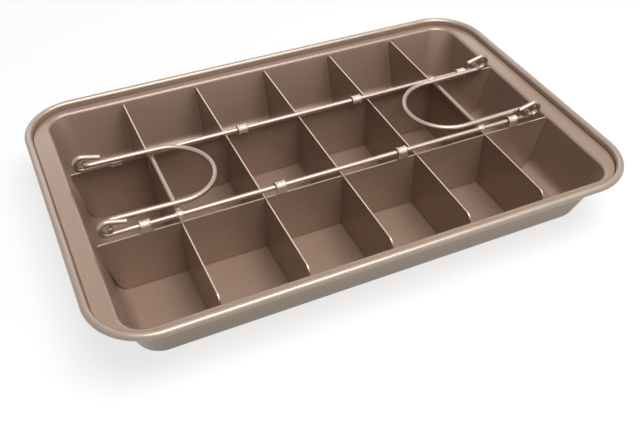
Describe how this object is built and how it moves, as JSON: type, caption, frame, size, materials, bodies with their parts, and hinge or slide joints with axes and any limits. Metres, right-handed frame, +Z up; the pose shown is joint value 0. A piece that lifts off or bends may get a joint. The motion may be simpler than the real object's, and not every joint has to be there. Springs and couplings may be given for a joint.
{
  "type": "brownie pan",
  "caption": "Shallow rectangular baking pan with a flanged, beaded rim and a lift-out rack of slotted dividers that bakes separate squares, with folding wire handles.",
  "frame": {"origin": "middle of the plan, on the surface that the pan stands on", "axes": "+X along the pan's length, +Y towards its back, +Z up"},
  "size_m": [0.312, 0.2036, 0.05],
  "materials": {
    "coated_sheet": "satin non-stick coating, warm bronze brown",
    "coated_wire": "semi-gloss coating, pale champagne bronze"
  },
  "bodies": {
    "pan": {"pan": "coated_sheet"},
    "rack": {"front_long_divider": "coated_sheet", "back_long_divider": "coated_sheet", "short_divider_1": "coated_sheet", "short_divider_2": "coated_sheet", "short_divider_3": "coated_sheet", "short_divider_4": "coated_sheet", "short_divider_5": "coated_sheet", "front_rod": "coated_wire", "back_rod": "coated_wire", "left_crossbar": "coated_wire", "right_crossbar": "coated_wire"},
    "left_handle": {"left_handle": "coated_wire"},
    "right_handle": {"right_handle": "coated_wire"}
  },
  "joints": [
    {"name": "lift_out", "type": "slide", "parent": "pan", "child": "rack", "axis": [0, 0, 1], "range_m": [0, 0.05]},
    {"name": "left_handle_swing", "type": "hinge", "parent": "rack", "child": "left_handle", "pos_m": [-0.1304, 0.001, 0.04492], "axis": [0, -1, 0], "range_deg": [0, 188.5]},
    {"name": "right_handle_swing", "type": "hinge", "parent": "rack", "child": "right_handle", "pos_m": [0.12375, -0.00085, 0.0436], "axis": [0, 1, 0], "range_deg": [0, 184.4]}
  ]
}
